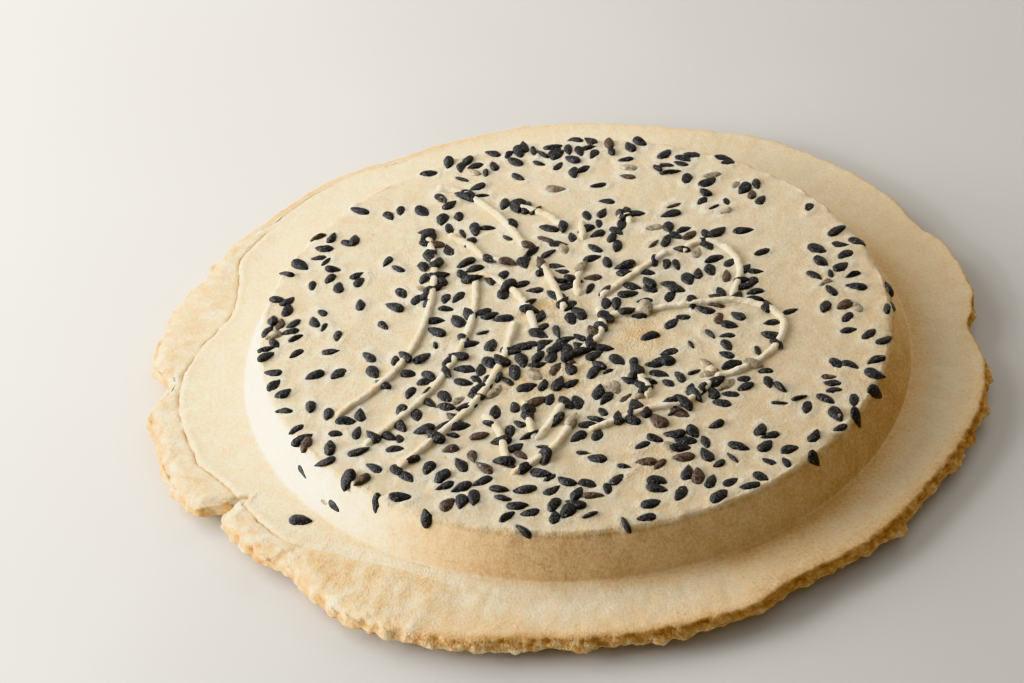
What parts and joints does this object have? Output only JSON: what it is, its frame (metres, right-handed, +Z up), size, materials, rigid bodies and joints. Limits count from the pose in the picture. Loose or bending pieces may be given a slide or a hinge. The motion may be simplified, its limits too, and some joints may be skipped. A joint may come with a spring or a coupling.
{
  "type": "sesame wheat cracker",
  "caption": "Round mould-baked cracker: a thick disc with a raised flower-and-stream crest under black sesame, and a thin torn rim of dough round it.",
  "frame": {"origin": "centre of the flat underside, on the disc's axis", "axes": "+Z up through the disc to the crest and sesame; -Y towards the front, where the rim's edge broke off at a slant"},
  "size_m": [0.1197, 0.1175, 0.0104],
  "materials": {
    "dough": "baked wheat dough, matt, cream with golden torn edges",
    "black_sesame": "roasted black sesame, satin",
    "brown_sesame": "brown sesame, satin",
    "pale_sesame": "sesame under a film of dough, matt"
  },
  "bodies": {
    "root": {"cracker": "dough"}
  },
  "joints": []
}
